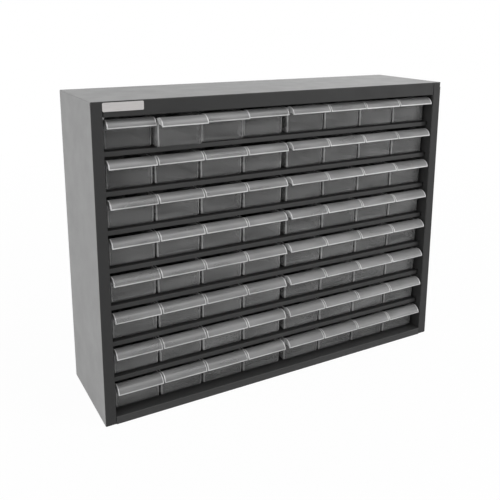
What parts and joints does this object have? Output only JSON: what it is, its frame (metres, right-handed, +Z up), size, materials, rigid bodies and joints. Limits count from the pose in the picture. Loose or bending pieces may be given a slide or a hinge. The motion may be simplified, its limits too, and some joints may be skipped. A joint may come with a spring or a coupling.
{
  "type": "parts bin cabinet",
  "caption": "Folded-steel small-parts cabinet with rows of clear drawers that slide out to the front by curved finger lips.",
  "frame": {"origin": "middle of the case's underside, on the bench", "axes": "+X to the right along the drawer rows, +Y to the back, +Z up; the drawers slide out along -Y"},
  "size_m": [0.508, 0.1503, 0.39],
  "materials": {
    "case_paint": "satin",
    "inner_paint": "satin",
    "clear_plastic": "frosted",
    "plate_metal": "satin"
  },
  "bodies": {
    "cabinet": {"casing": "case_paint", "back_panel": "case_paint", "base_deck": "inner_paint", "left_liner": "inner_paint", "right_liner": "inner_paint", "shelves": "inner_paint", "centre_divider": "inner_paint", "name_plate": "plate_metal"},
    "drawer_bank_row7_left": {"drawer_bank_row7_left": "clear_plastic"},
    "drawer_bank_row7_right": {"drawer_bank_row7_right": "clear_plastic"},
    "drawer_bank_row8_left": {"drawer_bank_row8_left": "clear_plastic"},
    "drawer_bank_row8_right": {"drawer_bank_row8_right": "clear_plastic"},
    "drawer_row1_col1": {"drawer_row1_col1": "clear_plastic"},
    "drawer_row1_col2": {"drawer_row1_col2": "clear_plastic"},
    "drawer_row1_col3": {"drawer_row1_col3": "clear_plastic"},
    "drawer_row1_col4": {"drawer_row1_col4": "clear_plastic"},
    "drawer_row1_col5": {"drawer_row1_col5": "clear_plastic"},
    "drawer_row1_col6": {"drawer_row1_col6": "clear_plastic"},
    "drawer_row1_col7": {"drawer_row1_col7": "clear_plastic"},
    "drawer_row1_col8": {"drawer_row1_col8": "clear_plastic"},
    "drawer_row2_col1": {"drawer_row2_col1": "clear_plastic"},
    "drawer_row2_col2": {"drawer_row2_col2": "clear_plastic"},
    "drawer_row2_col3": {"drawer_row2_col3": "clear_plastic"},
    "drawer_row2_col4": {"drawer_row2_col4": "clear_plastic"},
    "drawer_row2_col5": {"drawer_row2_col5": "clear_plastic"},
    "drawer_row2_col6": {"drawer_row2_col6": "clear_plastic"},
    "drawer_row2_col7": {"drawer_row2_col7": "clear_plastic"},
    "drawer_row2_col8": {"drawer_row2_col8": "clear_plastic"},
    "drawer_row3_col1": {"drawer_row3_col1": "clear_plastic"},
    "drawer_row3_col2": {"drawer_row3_col2": "clear_plastic"},
    "drawer_row3_col3": {"drawer_row3_col3": "clear_plastic"},
    "drawer_row3_col4": {"drawer_row3_col4": "clear_plastic"},
    "drawer_row3_col5": {"drawer_row3_col5": "clear_plastic"},
    "drawer_row3_col6": {"drawer_row3_col6": "clear_plastic"},
    "drawer_row3_col7": {"drawer_row3_col7": "clear_plastic"},
    "drawer_row3_col8": {"drawer_row3_col8": "clear_plastic"},
    "drawer_row4_col1": {"drawer_row4_col1": "clear_plastic"},
    "drawer_row4_col2": {"drawer_row4_col2": "clear_plastic"},
    "drawer_row4_col3": {"drawer_row4_col3": "clear_plastic"},
    "drawer_row4_col4": {"drawer_row4_col4": "clear_plastic"},
    "drawer_row4_col5": {"drawer_row4_col5": "clear_plastic"},
    "drawer_row4_col6": {"drawer_row4_col6": "clear_plastic"},
    "drawer_row4_col7": {"drawer_row4_col7": "clear_plastic"},
    "drawer_row4_col8": {"drawer_row4_col8": "clear_plastic"},
    "drawer_row5_col1": {"drawer_row5_col1": "clear_plastic"},
    "drawer_row5_col2": {"drawer_row5_col2": "clear_plastic"},
    "drawer_row5_col3": {"drawer_row5_col3": "clear_plastic"},
    "drawer_row5_col4": {"drawer_row5_col4": "clear_plastic"},
    "drawer_row5_col5": {"drawer_row5_col5": "clear_plastic"},
    "drawer_row5_col6": {"drawer_row5_col6": "clear_plastic"},
    "drawer_row5_col7": {"drawer_row5_col7": "clear_plastic"},
    "drawer_row5_col8": {"drawer_row5_col8": "clear_plastic"},
    "drawer_row6_col1": {"drawer_row6_col1": "clear_plastic"},
    "drawer_row6_col2": {"drawer_row6_col2": "clear_plastic"},
    "drawer_row6_col3": {"drawer_row6_col3": "clear_plastic"},
    "drawer_row6_col4": {"drawer_row6_col4": "clear_plastic"},
    "drawer_row6_col5": {"drawer_row6_col5": "clear_plastic"},
    "drawer_row6_col6": {"drawer_row6_col6": "clear_plastic"},
    "drawer_row6_col7": {"drawer_row6_col7": "clear_plastic"},
    "drawer_row6_col8": {"drawer_row6_col8": "clear_plastic"}
  },
  "joints": [
    {"name": "slide_bank_row7_left", "type": "slide", "parent": "cabinet", "child": "drawer_bank_row7_left", "axis": [0, -1, 0], "range_m": [0, 0.118]},
    {"name": "slide_bank_row7_right", "type": "slide", "parent": "cabinet", "child": "drawer_bank_row7_right", "axis": [0, -1, 0], "range_m": [0, 0.118]},
    {"name": "slide_bank_row8_left", "type": "slide", "parent": "cabinet", "child": "drawer_bank_row8_left", "axis": [0, -1, 0], "range_m": [0, 0.118]},
    {"name": "slide_bank_row8_right", "type": "slide", "parent": "cabinet", "child": "drawer_bank_row8_right", "axis": [0, -1, 0], "range_m": [0, 0.118]},
    {"name": "slide_row1_col1", "type": "slide", "parent": "cabinet", "child": "drawer_row1_col1", "axis": [0, -1, 0], "range_m": [0, 0.118]},
    {"name": "slide_row1_col2", "type": "slide", "parent": "cabinet", "child": "drawer_row1_col2", "axis": [0, -1, 0], "range_m": [-0.013, 0.105]},
    {"name": "slide_row1_col3", "type": "slide", "parent": "cabinet", "child": "drawer_row1_col3", "axis": [0, -1, 0], "range_m": [-0.005, 0.113]},
    {"name": "slide_row1_col4", "type": "slide", "parent": "cabinet", "child": "drawer_row1_col4", "axis": [0, -1, 0], "range_m": [0, 0.118]},
    {"name": "slide_row1_col5", "type": "slide", "parent": "cabinet", "child": "drawer_row1_col5", "axis": [0, -1, 0], "range_m": [0, 0.118]},
    {"name": "slide_row1_col6", "type": "slide", "parent": "cabinet", "child": "drawer_row1_col6", "axis": [0, -1, 0], "range_m": [0, 0.118]},
    {"name": "slide_row1_col7", "type": "slide", "parent": "cabinet", "child": "drawer_row1_col7", "axis": [0, -1, 0], "range_m": [0, 0.118]},
    {"name": "slide_row1_col8", "type": "slide", "parent": "cabinet", "child": "drawer_row1_col8", "axis": [0, -1, 0], "range_m": [0, 0.118]},
    {"name": "slide_row2_col1", "type": "slide", "parent": "cabinet", "child": "drawer_row2_col1", "axis": [0, -1, 0], "range_m": [0, 0.118]},
    {"name": "slide_row2_col2", "type": "slide", "parent": "cabinet", "child": "drawer_row2_col2", "axis": [0, -1, 0], "range_m": [0, 0.118]},
    {"name": "slide_row2_col3", "type": "slide", "parent": "cabinet", "child": "drawer_row2_col3", "axis": [0, -1, 0], "range_m": [0, 0.118]},
    {"name": "slide_row2_col4", "type": "slide", "parent": "cabinet", "child": "drawer_row2_col4", "axis": [0, -1, 0], "range_m": [0, 0.118]},
    {"name": "slide_row2_col5", "type": "slide", "parent": "cabinet", "child": "drawer_row2_col5", "axis": [0, -1, 0], "range_m": [0, 0.118]},
    {"name": "slide_row2_col6", "type": "slide", "parent": "cabinet", "child": "drawer_row2_col6", "axis": [0, -1, 0], "range_m": [0, 0.118]},
    {"name": "slide_row2_col7", "type": "slide", "parent": "cabinet", "child": "drawer_row2_col7", "axis": [0, -1, 0], "range_m": [0, 0.118]},
    {"name": "slide_row2_col8", "type": "slide", "parent": "cabinet", "child": "drawer_row2_col8", "axis": [0, -1, 0], "range_m": [0, 0.118]},
    {"name": "slide_row3_col1", "type": "slide", "parent": "cabinet", "child": "drawer_row3_col1", "axis": [0, -1, 0], "range_m": [0, 0.118]},
    {"name": "slide_row3_col2", "type": "slide", "parent": "cabinet", "child": "drawer_row3_col2", "axis": [0, -1, 0], "range_m": [0, 0.118]},
    {"name": "slide_row3_col3", "type": "slide", "parent": "cabinet", "child": "drawer_row3_col3", "axis": [0, -1, 0], "range_m": [0, 0.118]},
    {"name": "slide_row3_col4", "type": "slide", "parent": "cabinet", "child": "drawer_row3_col4", "axis": [0, -1, 0], "range_m": [0, 0.118]},
    {"name": "slide_row3_col5", "type": "slide", "parent": "cabinet", "child": "drawer_row3_col5", "axis": [0, -1, 0], "range_m": [0, 0.118]},
    {"name": "slide_row3_col6", "type": "slide", "parent": "cabinet", "child": "drawer_row3_col6", "axis": [0, -1, 0], "range_m": [0, 0.118]},
    {"name": "slide_row3_col7", "type": "slide", "parent": "cabinet", "child": "drawer_row3_col7", "axis": [0, -1, 0], "range_m": [0, 0.118]},
    {"name": "slide_row3_col8", "type": "slide", "parent": "cabinet", "child": "drawer_row3_col8", "axis": [0, -1, 0], "range_m": [0, 0.118]},
    {"name": "slide_row4_col1", "type": "slide", "parent": "cabinet", "child": "drawer_row4_col1", "axis": [0, -1, 0], "range_m": [0, 0.118]},
    {"name": "slide_row4_col2", "type": "slide", "parent": "cabinet", "child": "drawer_row4_col2", "axis": [0, -1, 0], "range_m": [0, 0.118]},
    {"name": "slide_row4_col3", "type": "slide", "parent": "cabinet", "child": "drawer_row4_col3", "axis": [0, -1, 0], "range_m": [0, 0.118]},
    {"name": "slide_row4_col4", "type": "slide", "parent": "cabinet", "child": "drawer_row4_col4", "axis": [0, -1, 0], "range_m": [0, 0.118]},
    {"name": "slide_row4_col5", "type": "slide", "parent": "cabinet", "child": "drawer_row4_col5", "axis": [0, -1, 0], "range_m": [0, 0.118]},
    {"name": "slide_row4_col6", "type": "slide", "parent": "cabinet", "child": "drawer_row4_col6", "axis": [0, -1, 0], "range_m": [0, 0.118]},
    {"name": "slide_row4_col7", "type": "slide", "parent": "cabinet", "child": "drawer_row4_col7", "axis": [0, -1, 0], "range_m": [0, 0.118]},
    {"name": "slide_row4_col8", "type": "slide", "parent": "cabinet", "child": "drawer_row4_col8", "axis": [0, -1, 0], "range_m": [0, 0.118]},
    {"name": "slide_row5_col1", "type": "slide", "parent": "cabinet", "child": "drawer_row5_col1", "axis": [0, -1, 0], "range_m": [0, 0.118]},
    {"name": "slide_row5_col2", "type": "slide", "parent": "cabinet", "child": "drawer_row5_col2", "axis": [0, -1, 0], "range_m": [0, 0.118]},
    {"name": "slide_row5_col3", "type": "slide", "parent": "cabinet", "child": "drawer_row5_col3", "axis": [0, -1, 0], "range_m": [0, 0.118]},
    {"name": "slide_row5_col4", "type": "slide", "parent": "cabinet", "child": "drawer_row5_col4", "axis": [0, -1, 0], "range_m": [0, 0.118]},
    {"name": "slide_row5_col5", "type": "slide", "parent": "cabinet", "child": "drawer_row5_col5", "axis": [0, -1, 0], "range_m": [0, 0.118]},
    {"name": "slide_row5_col6", "type": "slide", "parent": "cabinet", "child": "drawer_row5_col6", "axis": [0, -1, 0], "range_m": [0, 0.118]},
    {"name": "slide_row5_col7", "type": "slide", "parent": "cabinet", "child": "drawer_row5_col7", "axis": [0, -1, 0], "range_m": [0, 0.118]},
    {"name": "slide_row5_col8", "type": "slide", "parent": "cabinet", "child": "drawer_row5_col8", "axis": [0, -1, 0], "range_m": [0, 0.118]},
    {"name": "slide_row6_col1", "type": "slide", "parent": "cabinet", "child": "drawer_row6_col1", "axis": [0, -1, 0], "range_m": [0, 0.118]},
    {"name": "slide_row6_col2", "type": "slide", "parent": "cabinet", "child": "drawer_row6_col2", "axis": [0, -1, 0], "range_m": [0, 0.118]},
    {"name": "slide_row6_col3", "type": "slide", "parent": "cabinet", "child": "drawer_row6_col3", "axis": [0, -1, 0], "range_m": [0, 0.118]},
    {"name": "slide_row6_col4", "type": "slide", "parent": "cabinet", "child": "drawer_row6_col4", "axis": [0, -1, 0], "range_m": [0, 0.118]},
    {"name": "slide_row6_col5", "type": "slide", "parent": "cabinet", "child": "drawer_row6_col5", "axis": [0, -1, 0], "range_m": [0, 0.118]},
    {"name": "slide_row6_col6", "type": "slide", "parent": "cabinet", "child": "drawer_row6_col6", "axis": [0, -1, 0], "range_m": [0, 0.118]},
    {"name": "slide_row6_col7", "type": "slide", "parent": "cabinet", "child": "drawer_row6_col7", "axis": [0, -1, 0], "range_m": [0, 0.118]},
    {"name": "slide_row6_col8", "type": "slide", "parent": "cabinet", "child": "drawer_row6_col8", "axis": [0, -1, 0], "range_m": [0, 0.118]}
  ]
}
